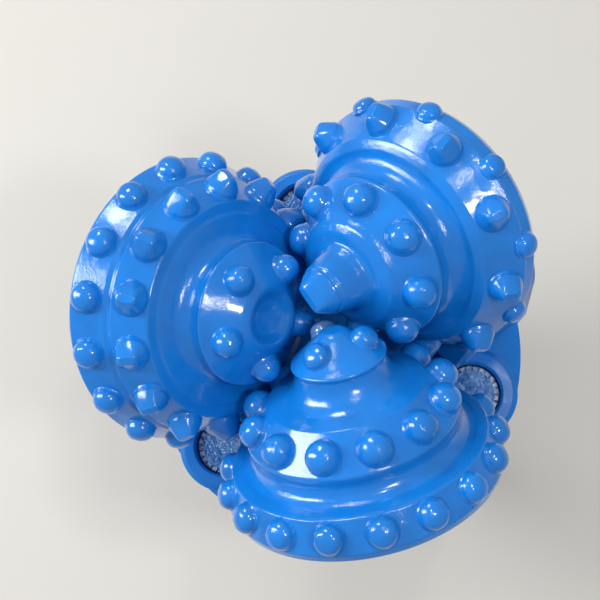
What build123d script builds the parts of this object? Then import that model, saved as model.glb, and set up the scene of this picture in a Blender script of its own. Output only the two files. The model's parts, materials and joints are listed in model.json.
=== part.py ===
from build123d import *
import os
from collections import namedtuple
from math import asin, cos, hypot, pi, radians, sin

os.makedirs("parts", exist_ok=True)

# Three-cone rock bit with carbide inserts, 8 1/2 in (215.9 mm) gauge, standing on its threaded
# pin. +Z is the bit's own axis and points at the cones. The origin is the centre of the pin's
# end face. Each leg is a third of the body and carries one cone on a journal that points
# inward and up.

# ---------------------------------------------------------------- whole bit
GAUGE_RADIUS = 107.95
JOURNAL_ANGLE = 35.0      # journal axis against the horizontal
CONE_OFFSET = 6.0         # sideways shift of each journal axis
LEG_COUNT = 3
FIRST_AZIMUTH = 90.0
SEAM_AHEAD = 38.0         # seam on the counter-clockwise side of the journal

# ---------------------------------------------------------------- pin and body
# Heights are stacked from the end of the pin.
PIN_LENGTH = 107.95
PIN_CREST_RADIUS = 58.74  # over the thread's crests, at the shoulder
PIN_TAPER = 0.25          # loss of diameter over length
THREAD_HEIGHT = 3.0       # the pin is turned to the roots of its thread
PIN_END_CHAMFER = 2.0
RELIEF_RADIUS = 53.2      # stress relief next to the shoulder
RELIEF_LENGTH = 9.5
RELIEF_RUN_OUT = 2.0
SHOULDER_RADIUS = 70.0
SHOULDER_BEVEL = 3.0
SHANK_LENGTH = 32.05
BODY_RADIUS = 97.0
BODY_FLARE_LENGTH = 28.0
BODY_RIM_LENGTH = 12.0
CROTCH_RADIUS = 78.0      # where the top of the body turns in towards the middle
CROTCH_RISE = 9.0
CROWN_RISE = 4.0
BORE_RADIUS = 28.575
PLENUM_RISE = 8.0         # end of the straight bore above the shank
PLENUM_DOME = 16.0
PLENUM_TOP_RADIUS = 12.0
WELD_ARC = 4.0            # degrees of circumference under a weld bead
WELD_ROOT = 3.0
WELD_CROWN = 0.8
WELD_SETBACK = 6.0        # weld stops this far from the shoulder and the body's top

# ---------------------------------------------------------------- leg arm
LEG_CLEARANCE = 5.45      # leg's skin inside the gauge
ARM_FLARE_LENGTH = 36.0
ARM_INNER = 38.0          # distance of the arm's inner wall from the bit axis
SHIRTTAIL_RADIUS = 54.0
SHIRTTAIL_DROP = 6.6      # below the edge where the skin and the back face would meet
ARM_FOOT_SPREAD = 6.0     # the arm is this much wider at its foot, on each side
BUTTON_RADIUS = 4.0
BUTTON_DEPTH = 6.0
BUTTON_STAND = 0.4
BUTTON_INSET = 10.0       # from the edge of the shirttail
BUTTON_ANGLES = (-72.0, -36.0, 0.0, 36.0, 72.0)

# ---------------------------------------------------------------- journal and bearing
# Places along a journal are given as reach: the distance from the apex end of its axis.
BASE_BEHIND_ROW = 17.0    # cone's base behind the middle of the outermost inserts
BACK_GAP = 0.4
JOURNAL_ROOT = 4.0        # length of the journal that lies inside the leg's forging
JOURNAL_RADIUS = 27.0
JOURNAL_LENGTH = 26.0
LAND_RADIUS = 22.4        # of the journal on both sides of the ball race
RACE_SETBACK = 7.0        # middle of the ball race from the end of the wide journal
THRUST_SETBACK = 7.0      # thrust face from the middle of the ball race
PILOT_RADIUS = 14.0
PILOT_LENGTH = 9.0
RACE_STAND = 0.1          # pitch circle of the balls outside the land
BALL_RADIUS = 5.55
BALL_SPACE = 0.3          # least room between two balls
RUNNING_GAP = 0.05
BUSH_WALL = 3.0
GLAND_LENGTH = 7.0
SEAL_SECTION = 5.5
SEAL_GAP = 0.08
WASHER_THICKNESS = 1.9
WASHER_BACK_GAP = 0.08
END_GAP = 1.0             # between the pilot pin and the end of its bore
BALL_ENTRY_GAP = 0.55     # ball plug's radius over the balls' radius
PLUG_GAP = 0.1
PLUG_START_GAP = 4.0      # from the middle of the ball race to the plug's trimmed end
PLUG_SET_IN = 2.0         # outer end of the ball plug below the leg's surface

# ---------------------------------------------------------------- nozzle
NOZZLE_AZIMUTH = -60.0    # seen from the leg's own journal
NOZZLE_CIRCLE = 74.2
BOSS_RADIUS = 23.4
BOSS_HEIGHT = 18.5        # above the rim of the body
BOSS_CHAMFER = 2.5
APEX_ABOVE_BOSS = 113.5   # where the journal axes come nearest to the bit axis
POCKET_RADIUS = 14.8
POCKET_DEPTH = 9.5
POCKET_BEVEL = 1.2
SEAT_RADIUS = 12.9
SEAT_DEPTH = 33.0
NOZZLE_NOSE_RADIUS = 11.9
NOZZLE_NOSE_DEPTH = 5.5   # of the nozzle's nose below the boss face
ORIFICE_RADIUS = 5.5
ORIFICE_LENGTH = 7.0
NOZZLE_ENTRY_RADIUS = 9.5
RING_THICKNESS = 5.0
RING_GAP = 0.1
COVER_THICKNESS = 1.6     # thin disc that keeps the nozzle closed until the bit is used
ORING_SECTION = 3.0
ORING_DEPTH = 20.0
FEED_RADIUS = 9.5
FEED_START_RADIUS = 16.0
FEED_SUMP = 3.5           # end of the feed below the nozzle's seat

# ---------------------------------------------------------------- grease reservoir
RESERVOIR_RISE = 14.0     # middle of the reservoir above the arm's flare
RESERVOIR_RADIUS = 20.0
RESERVOIR_DEPTH = 40.0
SNAP_GROOVE_DEPTH = 3.0   # of the ring's outer face below the leg's surface
SNAP_WIDTH = 2.2
SNAP_GRIP = 1.5           # how far the ring stands into the wall
SNAP_LIP = 2.5            # how far it stands over the cap
CAP_THICKNESS = 7.0
CAP_VENT_RADIUS = 2.5
FLANGE_THICKNESS = 3.0
BELLOWS_STEP = 4.0        # bellows inside the reservoir's wall
BELLOWS_DEPTH = 16.0
BELLOWS_WALL = 2.0
RESERVOIR_GAP = 0.1
GREASE_HOLE_RADIUS = 3.0
GREASE_START_INSET = 7.5  # from the floor of the reservoir
GREASE_MEET = 0.6         # share of the ball hole's length at which the grease hole enters it

# ---------------------------------------------------------------- inserts
# One row of carbide inserts on a cone. reach and radius place the middle of each insert on
# the cone's land, tilt leans it towards the nose, and phase turns the row on the cone.
Row = namedtuple("Row", "reach radius tilt count phase size")
Insert = namedtuple("Insert", "radius grip height crown_radius crest")

GAUGE_INSERT = Insert(7.1, 11.0, 6.2, 4.0, 0.0)
CONE_INSERT = Insert(7.0, 8.0, 7.6, 3.6, 0.0)
CHISEL_INSERT = Insert(7.9, 11.0, 8.6, 4.2, 3.4)
DOME_INSERT = Insert(7.9, 8.5, 8.0, 4.4, 0.0)
HEEL_INSERT = Insert(6.0, 9.0, 4.2, 3.4, 0.0)
NOSE_INSERT = Insert(9.4, 12.0, 13.2, 5.0, 4.4)
TIP_INSERT = Insert(6.4, 8.0, 5.2, 3.6, 0.0)

OUTER_A = Row(73.0, 63.5, 24.0, 16, 16.5, GAUGE_INSERT)
SECOND_A = Row(54.9, 54.2, 34.0, 14, 13.8, CHISEL_INSERT)
INNER_A = Row(28.3, 23.0, 55.0, 5, -24.6, CONE_INSERT)
HEEL_B = Row(79.2, 60.4, 6.0, 10, -10.5, HEEL_INSERT)
GAUGE_B = Row(69.4, 56.0, 34.0, 10, 8.5, CHISEL_INSERT)
INNER_B = Row(38.5, 33.0, 42.0, 8, -14.2, DOME_INSERT)
NOSE_B = Row(15.5, 0.0, 90.0, 1, 0.0, NOSE_INSERT)
OUTER_C = Row(74.6, 61.1, 20.0, 17, 3.4, GAUGE_INSERT)
MIDDLE_C = Row(47.0, 42.6, 41.0, 12, 10.7, DOME_INSERT)
NOSE_C = Row(15.9, 12.9, 52.0, 3, -40.6, TIP_INSERT)

# ---------------------------------------------------------------- cone shells
# (reach, radius) of the turned outline from the nose to the base. Lands for the insert rows
# stand between the grooves that the neighbours' inserts sweep through.
CONE_BASE_RADIUS = 56.0
LAND_MARGIN = 1.4         # land left in front of and behind an insert
LAND_LIP = 0.4            # the same where a groove or the heel comes close
CAP_SKIRT = 4.8           # the same behind the first row of a cone with a broad cap
NOSE_DISH_A = ((26.4, 3.0), (25.2, 8.0), (23.0, 11.9))
NOSE_RIM_A = (22.7, 13.4)
GROOVE_A = ((36.9, 31.6), (41.5, 31.4), (46.6, 36.8), (48.0, 48.2))
NOTCH_A = ((62.9, 58.6), (63.4, 57.3), (64.5, 57.4), (64.9, 59.2))
HEEL_CORNER_A = (82.4, 65.2)
NOSE_LAND_B = ((15.5, 10.8), (21.5, 13.2), (26.5, 16.0), (28.6, 24.4))
GROOVE_B = ((47.5, 38.4), (52.5, 37.2), (59.6, 46.4), (60.8, 49.2))
HEEL_CORNER_B = ((78.0, 60.3), (83.8, 60.9), (87.6, 58.8))
NOSE_CAP_C = ((9.4, 4.4), (10.4, 6.3))
NOSE_GROOVE_C = ((24.5, 20.6), (30.0, 21.6), (36.4, 28.0), (37.9, 34.8))
GROOVE_C = ((56.5, 48.0), (61.0, 47.0), (66.5, 53.8), (67.0, 56.8))
HEEL_CORNER_C = (85.2, 62.4)
DOME_FULLNESS = 0.54      # share of the two radii that a dome's side keeps at its belt
DOME_BELT = 0.6
DOME_SHOULDER = 0.9
FLAT_START = 0.25


# ---------------------------------------------------------------- sizes that follow
LEG_SPAN = 360.0 / LEG_COUNT
AZIMUTH = {"b": FIRST_AZIMUTH, "a": FIRST_AZIMUTH + LEG_SPAN, "c": FIRST_AZIMUTH + 2 * LEG_SPAN}
PIN_ROOT_RADIUS = PIN_CREST_RADIUS - THREAD_HEIGHT
PIN_END_RADIUS = PIN_ROOT_RADIUS - PIN_LENGTH * PIN_TAPER / 2
THREAD_END_Z = PIN_LENGTH - RELIEF_LENGTH
SHANK_TOP_Z = PIN_LENGTH + SHANK_LENGTH
BODY_FLARE_Z = SHANK_TOP_Z + BODY_FLARE_LENGTH
BODY_TOP_Z = BODY_FLARE_Z + BODY_RIM_LENGTH
CROTCH_Z = BODY_TOP_Z + CROTCH_RISE
CROWN_Z = CROTCH_Z + CROWN_RISE
PLENUM_Z = SHANK_TOP_Z + PLENUM_RISE
PLENUM_TOP_Z = PLENUM_Z + PLENUM_DOME
BOSS_FACE_Z = BODY_TOP_Z + BOSS_HEIGHT
APEX_Z = BOSS_FACE_Z + APEX_ABOVE_BOSS
LEG_RADIUS = GAUGE_RADIUS - LEG_CLEARANCE
ARM_FLARE_Z = SHANK_TOP_Z + ARM_FLARE_LENGTH
RESERVOIR_Z = ARM_FLARE_Z + RESERVOIR_RISE
SNAP_RADIUS = RESERVOIR_RADIUS + SNAP_GRIP
SNAP_INNER_RADIUS = RESERVOIR_RADIUS - SNAP_LIP
BELLOWS_RADIUS = RESERVOIR_RADIUS - BELLOWS_STEP
CAP_DEPTH = SNAP_GROOVE_DEPTH + SNAP_WIDTH + RESERVOIR_GAP
FLANGE_DEPTH = CAP_DEPTH + CAP_THICKNESS
CONE_BASE_REACH = OUTER_A.reach + BASE_BEHIND_ROW
JOURNAL_TOP_REACH = CONE_BASE_REACH - JOURNAL_LENGTH
RACE_REACH = JOURNAL_TOP_REACH - RACE_SETBACK
THRUST_REACH = RACE_REACH - THRUST_SETBACK
PILOT_TOP_REACH = THRUST_REACH - PILOT_LENGTH
RACE_RADIUS = LAND_RADIUS + RACE_STAND
RACE_GROOVE = BALL_RADIUS + RUNNING_GAP
BALL_COUNT = int(pi / asin((BALL_RADIUS + BALL_SPACE / 2) / RACE_RADIUS))
BALL_PHASE = 180.0 / BALL_COUNT
BUSH_BORE = JOURNAL_RADIUS + RUNNING_GAP
BUSH_OUTER = BUSH_BORE + BUSH_WALL
GLAND_RADIUS = JOURNAL_RADIUS + SEAL_SECTION + 2 * SEAL_GAP
WASHER_REACH = THRUST_REACH - WASHER_BACK_GAP - WASHER_THICKNESS
PLUG_RADIUS = BALL_RADIUS + BALL_ENTRY_GAP
# depth below the apex at which the leg's skin meets the plane behind the cone
TAIL_EDGE_REACH = CONE_BASE_REACH + BACK_GAP - LEG_RADIUS * cos(radians(JOURNAL_ANGLE))
TAIL_EDGE_DEPTH = TAIL_EDGE_REACH / sin(radians(JOURNAL_ANGLE))
SHIRTTAIL_Z = APEX_Z - TAIL_EDGE_DEPTH - SHIRTTAIL_DROP - SHIRTTAIL_RADIUS


# ---------------------------------------------------------------- frames
def journal_origin(azimuth):
    return Vector(-sin(radians(azimuth)), cos(radians(azimuth)), 0) * CONE_OFFSET + Vector(0, 0, APEX_Z)


def journal_direction(azimuth):
    level = Vector(cos(radians(azimuth)), sin(radians(azimuth)), 0)
    return level * cos(radians(JOURNAL_ANGLE)) - Vector(0, 0, sin(radians(JOURNAL_ANGLE)))


def journal_up(azimuth):
    level = Vector(cos(radians(azimuth)), sin(radians(azimuth)), 0)
    return level * sin(radians(JOURNAL_ANGLE)) + Vector(0, 0, cos(radians(JOURNAL_ANGLE)))


def journal_section(azimuth):
    """Plane through the journal axis: X is reach, Y is radius on the upper side."""
    along = journal_direction(azimuth)
    return Plane(origin=journal_origin(azimuth), x_dir=along, z_dir=along.cross(journal_up(azimuth)))


def journal_pattern(azimuth):
    """Plane across the journal axis at the apex end: Z points to the nose, X up."""
    along = journal_direction(azimuth)
    return Plane(origin=journal_origin(azimuth), x_dir=journal_up(azimuth), z_dir=along * -1)


def journal_axis(azimuth):
    return Axis(journal_origin(azimuth), journal_direction(azimuth))


def axial_plane(azimuth):
    """Plane through the bit axis: X is the distance from it, Y is height."""
    turn = radians(azimuth)
    return Plane(origin=(0, 0, 0), x_dir=(cos(turn), sin(turn), 0), z_dir=(sin(turn), -cos(turn), 0))


def land_ends(row, before, behind):
    """Front and back end of the land that holds a row, with the margins beside its inserts."""
    run = cos(radians(row.tilt))
    rise = sin(radians(row.tilt))
    front = row.size.radius + before
    back = row.size.radius + behind
    return (row.reach - front * run, row.radius - front * rise), (row.reach + back * run, row.radius + back * rise)


def finish(piece, name):
    piece.part.label = name
    export_step(piece.part, "parts/" + name + ".step")


# ---------------------------------------------------------------- shared forms
NOZZLE_PLACE = Vector(cos(radians(NOZZLE_AZIMUTH)), sin(radians(NOZZLE_AZIMUTH)), 0) * NOZZLE_CIRCLE
NOZZLE_FACE = Plane(origin=NOZZLE_PLACE + Vector(0, 0, BOSS_FACE_Z), z_dir=(0, 0, 1))
NOZZLE_SECTION = Plane(origin=NOZZLE_FACE.origin, x_dir=(1, 0, 0), z_dir=(0, -1, 0))
NOZZLE_AXIS = Axis(NOZZLE_FACE.origin, (0, 0, 1))
ORING_BED = ORING_SECTION / 2 + RUNNING_GAP
ORING_PLACE = (SEAT_RADIUS - RUNNING_GAP + ORING_SECTION / 2, -ORING_DEPTH)
FEED_END_Z = BOSS_FACE_Z - SEAT_DEPTH - FEED_SUMP
FEED_START = NOZZLE_PLACE.normalized() * FEED_START_RADIUS + Vector(0, 0, PLENUM_Z)
FEED_END = NOZZLE_PLACE + Vector(0, 0, FEED_END_Z)
FEED_PLANE = Plane(origin=FEED_START, z_dir=FEED_END - FEED_START)
FEED_LENGTH = (FEED_END - FEED_START).length
RESERVOIR_SECTION = Plane(origin=(LEG_RADIUS, 0, RESERVOIR_Z), x_dir=(-1, 0, 0), z_dir=(0, 1, 0))
RESERVOIR_AXIS = Axis((LEG_RADIUS, 0, RESERVOIR_Z), (-1, 0, 0))
PLUG_EXIT_REACH = LEG_RADIUS / cos(radians(JOURNAL_ANGLE))
PLUG_LENGTH = hypot(PLUG_EXIT_REACH - RACE_REACH, RACE_RADIUS)
SECTION_0 = journal_section(0)
PLUG_START = SECTION_0.from_local_coords(Vector(RACE_REACH, -RACE_RADIUS, 0))
PLUG_EXIT = SECTION_0.from_local_coords(Vector(PLUG_EXIT_REACH, 0, 0))
PLUG_PLANE = Plane(origin=PLUG_START, z_dir=PLUG_EXIT - PLUG_START)
GREASE_START = Vector(LEG_RADIUS - RESERVOIR_DEPTH + GREASE_START_INSET, 0, RESERVOIR_Z)
GREASE_END = PLUG_START + (PLUG_EXIT - PLUG_START) * GREASE_MEET
GREASE_PLANE = Plane(origin=GREASE_START, z_dir=GREASE_END - GREASE_START)
GREASE_LENGTH = (GREASE_END - GREASE_START).length


def race_ring(extra):
    """Room swept by the balls round the journal, opened out past the land."""
    with BuildPart() as ring:
        with BuildSketch(SECTION_0) as groove:
            with Locations((RACE_REACH, RACE_RADIUS)):
                Circle(RACE_GROOVE + extra)
            with BuildLine():
                Polyline(
                    (THRUST_REACH, LAND_RADIUS),
                    (THRUST_REACH, BUSH_OUTER),
                    (JOURNAL_TOP_REACH, BUSH_OUTER),
                    (JOURNAL_TOP_REACH, LAND_RADIUS),
                    close=True,
                )
            make_face()
        revolve(axis=journal_axis(0))
    return ring.part


def seam_band(azimuth):
    """Weld bead along the seam between two legs."""
    foot = PIN_LENGTH + SHOULDER_BEVEL + WELD_SETBACK
    head = BODY_TOP_Z - WELD_SETBACK
    with BuildPart() as bead:
        with BuildSketch(axial_plane(azimuth - WELD_ARC / 2)):
            with BuildLine():
                Polyline(
                    (SHOULDER_RADIUS - WELD_ROOT, foot),
                    (SHOULDER_RADIUS + WELD_CROWN, foot),
                    (SHOULDER_RADIUS + WELD_CROWN, SHANK_TOP_Z),
                    (BODY_RADIUS + WELD_CROWN, BODY_FLARE_Z),
                    (BODY_RADIUS + WELD_CROWN, head),
                    (BODY_RADIUS - WELD_ROOT, head),
                    (BODY_RADIUS - WELD_ROOT, BODY_FLARE_Z),
                    (SHOULDER_RADIUS - WELD_ROOT, SHANK_TOP_Z),
                    close=True,
                )
            make_face()
        revolve(axis=Axis.Z, revolution_arc=WELD_ARC)
    return bead


# ---------------------------------------------------------------- leg
with BuildPart() as third:
    # body and pin: a third of a turning
    with BuildSketch(axial_plane(SEAM_AHEAD - LEG_SPAN)):
        with BuildLine():
            Polyline(
                (BORE_RADIUS, 0),
                (PIN_END_RADIUS - PIN_END_CHAMFER, 0),
                (PIN_END_RADIUS + PIN_END_CHAMFER * PIN_TAPER / 2, PIN_END_CHAMFER),
                (PIN_END_RADIUS + THREAD_END_Z * PIN_TAPER / 2, THREAD_END_Z),
                (RELIEF_RADIUS, THREAD_END_Z + RELIEF_RUN_OUT),
                (RELIEF_RADIUS, PIN_LENGTH),
                (SHOULDER_RADIUS - SHOULDER_BEVEL, PIN_LENGTH),
                (SHOULDER_RADIUS, PIN_LENGTH + SHOULDER_BEVEL),
                (SHOULDER_RADIUS, SHANK_TOP_Z),
                (BODY_RADIUS, BODY_FLARE_Z),
                (BODY_RADIUS, BODY_TOP_Z),
                (CROTCH_RADIUS, CROTCH_Z),
                (0, CROWN_Z),
                (0, PLENUM_TOP_Z),
                (PLENUM_TOP_RADIUS, PLENUM_TOP_Z),
                (BORE_RADIUS, PLENUM_Z),
                close=True,
            )
        make_face()
    revolve(axis=Axis.Z, revolution_arc=LEG_SPAN)

with BuildPart() as arm:
    # outer skin of the arm
    with BuildSketch(axial_plane(SEAM_AHEAD - LEG_SPAN)):
        with BuildLine():
            Polyline(
                (0, SHANK_TOP_Z),
                (SHOULDER_RADIUS, SHANK_TOP_Z),
                (LEG_RADIUS, ARM_FLARE_Z),
                (LEG_RADIUS, APEX_Z),
                (0, APEX_Z),
                close=True,
            )
        make_face()
    revolve(axis=Axis.Z, revolution_arc=LEG_SPAN)
    # rounded shirttail seen from outside
    with BuildSketch(Plane.YZ.offset(ARM_INNER)):
        with Locations((CONE_OFFSET, SHIRTTAIL_Z)):
            Circle(SHIRTTAIL_RADIUS)
        with BuildLine():
            Polyline(
                (CONE_OFFSET - SHIRTTAIL_RADIUS, SHIRTTAIL_Z),
                (CONE_OFFSET + SHIRTTAIL_RADIUS, SHIRTTAIL_Z),
                (CONE_OFFSET + SHIRTTAIL_RADIUS + ARM_FOOT_SPREAD, SHANK_TOP_Z),
                (CONE_OFFSET - SHIRTTAIL_RADIUS - ARM_FOOT_SPREAD, SHANK_TOP_Z),
                close=True,
            )
        make_face()
    extrude(amount=LEG_RADIUS, mode=Mode.INTERSECT)
    # flat face behind the cone
    with BuildSketch(journal_pattern(0).offset(-CONE_BASE_REACH - BACK_GAP)):
        Circle(2 * SHIRTTAIL_RADIUS)
    extrude(amount=2 * GAUGE_RADIUS, mode=Mode.SUBTRACT)

with BuildPart() as journal:
    with BuildSketch(SECTION_0):
        with BuildLine():
            Polyline(
                (CONE_BASE_REACH + JOURNAL_ROOT, 0),
                (CONE_BASE_REACH + JOURNAL_ROOT, JOURNAL_RADIUS),
                (JOURNAL_TOP_REACH, JOURNAL_RADIUS),
                (JOURNAL_TOP_REACH, LAND_RADIUS),
                (THRUST_REACH, LAND_RADIUS),
                (THRUST_REACH, PILOT_RADIUS),
                (PILOT_TOP_REACH, PILOT_RADIUS),
                (PILOT_TOP_REACH, 0),
                close=True,
            )
        make_face()
    revolve(axis=journal_axis(0))

BUTTON_PLACES = []
for angle in BUTTON_ANGLES:
    across = (SHIRTTAIL_RADIUS - BUTTON_INSET) * sin(radians(angle))
    above = (SHIRTTAIL_RADIUS - BUTTON_INSET) * cos(radians(angle))
    turned = asin((CONE_OFFSET + across) / LEG_RADIUS)
    out = Vector(cos(turned), sin(turned), 0)
    seat = out * (LEG_RADIUS + BUTTON_STAND) + Vector(0, 0, SHIRTTAIL_Z + above)
    BUTTON_PLACES.append(Plane(origin=seat, z_dir=out))

with BuildPart() as buttons_form:
    for place in BUTTON_PLACES:
        with BuildSketch(place):
            Circle(BUTTON_RADIUS)
        extrude(amount=-BUTTON_DEPTH)


with BuildPart() as leg_form:
    add(third.part)
    add(arm.part)
    add(journal.part)
    # nozzle boss beside the arm
    with BuildSketch(Plane.XY.offset(BODY_FLARE_Z)):
        with Locations((NOZZLE_PLACE.X, NOZZLE_PLACE.Y)):
            Circle(BOSS_RADIUS)
    extrude(amount=BOSS_FACE_Z - BODY_FLARE_Z)
    boss_rim = leg_form.edges().filter_by(GeomType.CIRCLE).filter_by(
        lambda edge: abs(edge.radius - BOSS_RADIUS) < RUNNING_GAP
    )
    chamfer(boss_rim.group_by(Axis.Z)[-1], BOSS_CHAMFER)
    # stepped pocket for the nozzle, with the groove of its O-ring
    with BuildSketch(NOZZLE_SECTION):
        with BuildLine():
            Polyline(
                (0, 0),
                (POCKET_RADIUS + POCKET_BEVEL, 0),
                (POCKET_RADIUS, -POCKET_BEVEL),
                (POCKET_RADIUS, -POCKET_DEPTH),
                (SEAT_RADIUS, -POCKET_DEPTH),
                (SEAT_RADIUS, -SEAT_DEPTH),
                (FEED_RADIUS, -SEAT_DEPTH),
                (FEED_RADIUS, FEED_END_Z - BOSS_FACE_Z),
                (0, FEED_END_Z - BOSS_FACE_Z),
                close=True,
            )
        make_face()
        with Locations(ORING_PLACE):
            Rectangle(2 * ORING_BED, ORING_SECTION + 2 * RUNNING_GAP)
    revolve(axis=NOZZLE_AXIS, mode=Mode.SUBTRACT)
    # slanting feed from the bore to the nozzle
    with BuildSketch(FEED_PLANE):
        Circle(FEED_RADIUS)
    extrude(amount=FEED_LENGTH, mode=Mode.SUBTRACT)
    # grease reservoir with the groove of its snap ring
    with BuildSketch(RESERVOIR_SECTION):
        with BuildLine():
            Polyline(
                (-RESERVOIR_RADIUS, 0),
                (-RESERVOIR_RADIUS, RESERVOIR_RADIUS),
                (RESERVOIR_DEPTH, RESERVOIR_RADIUS),
                (RESERVOIR_DEPTH, 0),
                close=True,
            )
        make_face()
        with BuildLine():
            Polyline(
                (SNAP_GROOVE_DEPTH, 0),
                (SNAP_GROOVE_DEPTH, SNAP_RADIUS),
                (SNAP_GROOVE_DEPTH + SNAP_WIDTH, SNAP_RADIUS),
                (SNAP_GROOVE_DEPTH + SNAP_WIDTH, 0),
                close=True,
            )
        make_face()
    revolve(axis=RESERVOIR_AXIS, mode=Mode.SUBTRACT)
    # hole through which the balls go in, and the grease hole that meets it
    with BuildSketch(PLUG_PLANE):
        Circle(PLUG_RADIUS + PLUG_GAP)
    extrude(amount=PLUG_LENGTH + LEG_RADIUS, mode=Mode.SUBTRACT)
    with BuildSketch(GREASE_PLANE):
        Circle(GREASE_HOLE_RADIUS)
    extrude(amount=GREASE_LENGTH, mode=Mode.SUBTRACT)
    add(race_ring(0), mode=Mode.SUBTRACT)
    add(buttons_form.part, mode=Mode.SUBTRACT)
    for seam in (SEAM_AHEAD, SEAM_AHEAD - LEG_SPAN):
        add(seam_band(seam).part, mode=Mode.SUBTRACT)

bead_form = seam_band(SEAM_AHEAD)

# ---------------------------------------------------------------- pieces carried by the leg
with BuildPart() as plug_form:
    with BuildSketch(PLUG_PLANE.offset(PLUG_START_GAP)):
        Circle(PLUG_RADIUS)
    extrude(amount=PLUG_LENGTH - PLUG_START_GAP - PLUG_SET_IN)
    add(race_ring(RUNNING_GAP), mode=Mode.SUBTRACT)

with BuildPart() as nozzle_form:
    with BuildSketch(NOZZLE_SECTION):
        with BuildLine():
            Polyline(
                (ORIFICE_RADIUS, -NOZZLE_NOSE_DEPTH),
                (NOZZLE_NOSE_RADIUS, -NOZZLE_NOSE_DEPTH),
                (NOZZLE_NOSE_RADIUS, -POCKET_DEPTH),
                (SEAT_RADIUS - RUNNING_GAP, -POCKET_DEPTH),
                (SEAT_RADIUS - RUNNING_GAP, -SEAT_DEPTH),
                (NOZZLE_ENTRY_RADIUS, -SEAT_DEPTH),
                (ORIFICE_RADIUS, -NOZZLE_NOSE_DEPTH - ORIFICE_LENGTH),
                close=True,
            )
        make_face()
    revolve(axis=NOZZLE_AXIS)

with BuildPart() as nozzle_ring_form:
    with BuildSketch(NOZZLE_FACE.offset(-POCKET_DEPTH)):
        Circle(POCKET_RADIUS - RUNNING_GAP)
        Circle(NOZZLE_NOSE_RADIUS + RING_GAP, mode=Mode.SUBTRACT)
    extrude(amount=RING_THICKNESS)

with BuildPart() as nozzle_cover_form:
    with BuildSketch(NOZZLE_FACE.offset(-NOZZLE_NOSE_DEPTH)):
        Circle(NOZZLE_NOSE_RADIUS)
    extrude(amount=COVER_THICKNESS)

with BuildPart() as nozzle_oring_form:
    with BuildSketch(NOZZLE_SECTION):
        with Locations(ORING_PLACE):
            Circle(ORING_SECTION / 2)
    revolve(axis=NOZZLE_AXIS)

with BuildPart() as snap_ring_form:
    with BuildSketch(RESERVOIR_SECTION):
        with BuildLine():
            Polyline(
                (SNAP_GROOVE_DEPTH, SNAP_INNER_RADIUS),
                (SNAP_GROOVE_DEPTH, SNAP_RADIUS),
                (SNAP_GROOVE_DEPTH + SNAP_WIDTH, SNAP_RADIUS),
                (SNAP_GROOVE_DEPTH + SNAP_WIDTH, SNAP_INNER_RADIUS),
                close=True,
            )
        make_face()
    revolve(axis=RESERVOIR_AXIS)

with BuildPart() as cap_form:
    with BuildSketch(RESERVOIR_SECTION):
        with BuildLine():
            Polyline(
                (CAP_DEPTH, CAP_VENT_RADIUS),
                (CAP_DEPTH, RESERVOIR_RADIUS - RESERVOIR_GAP),
                (FLANGE_DEPTH, RESERVOIR_RADIUS - RESERVOIR_GAP),
                (FLANGE_DEPTH, CAP_VENT_RADIUS),
                close=True,
            )
        make_face()
    revolve(axis=RESERVOIR_AXIS)

with BuildPart() as diaphragm_form:
    with BuildSketch(RESERVOIR_SECTION):
        with BuildLine():
            Polyline(
                (FLANGE_DEPTH, BELLOWS_RADIUS - BELLOWS_WALL),
                (FLANGE_DEPTH, RESERVOIR_RADIUS - RESERVOIR_GAP),
                (FLANGE_DEPTH + FLANGE_THICKNESS, RESERVOIR_RADIUS - RESERVOIR_GAP),
                (FLANGE_DEPTH + FLANGE_THICKNESS, BELLOWS_RADIUS),
                (FLANGE_DEPTH + BELLOWS_DEPTH - BELLOWS_WALL, BELLOWS_RADIUS),
                (FLANGE_DEPTH + BELLOWS_DEPTH, BELLOWS_RADIUS - BELLOWS_WALL),
                (FLANGE_DEPTH + BELLOWS_DEPTH, 0),
                (FLANGE_DEPTH + BELLOWS_DEPTH - BELLOWS_WALL, 0),
                (FLANGE_DEPTH + BELLOWS_DEPTH - BELLOWS_WALL, BELLOWS_RADIUS - 2 * BELLOWS_WALL),
                close=True,
            )
        make_face()
    revolve(axis=RESERVOIR_AXIS)

LEG_FORMS = {
    "leg": leg_form,
    "weld_bead": bead_form,
    "shirttail_buttons": buttons_form,
    "ball_plug": plug_form,
    "nozzle": nozzle_form,
    "nozzle_ring": nozzle_ring_form,
    "nozzle_cover": nozzle_cover_form,
    "nozzle_oring": nozzle_oring_form,
    "reservoir_snap_ring": snap_ring_form,
    "reservoir_cap": cap_form,
    "reservoir_diaphragm": diaphragm_form,
}

for letter, azimuth in AZIMUTH.items():
    for name, form in LEG_FORMS.items():
        with BuildPart() as placed:
            with Locations(Location((0, 0, 0), (0, 0, azimuth))):
                add(form.part)
        finish(placed, name + "_" + letter)

# ---------------------------------------------------------------- pieces inside a cone
with BuildPart() as bush_form:
    with BuildSketch(SECTION_0):
        with BuildLine():
            Polyline(
                (JOURNAL_TOP_REACH, BUSH_BORE),
                (JOURNAL_TOP_REACH, BUSH_OUTER),
                (CONE_BASE_REACH - GLAND_LENGTH, BUSH_OUTER),
                (CONE_BASE_REACH - GLAND_LENGTH, BUSH_BORE),
                close=True,
            )
        make_face()
    revolve(axis=journal_axis(0))

with BuildPart() as washer_form:
    with BuildSketch(SECTION_0):
        with BuildLine():
            Polyline(
                (WASHER_REACH, PILOT_RADIUS + RUNNING_GAP),
                (WASHER_REACH, LAND_RADIUS),
                (WASHER_REACH + WASHER_THICKNESS, LAND_RADIUS),
                (WASHER_REACH + WASHER_THICKNESS, PILOT_RADIUS + RUNNING_GAP),
                close=True,
            )
        make_face()
    revolve(axis=journal_axis(0))

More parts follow.
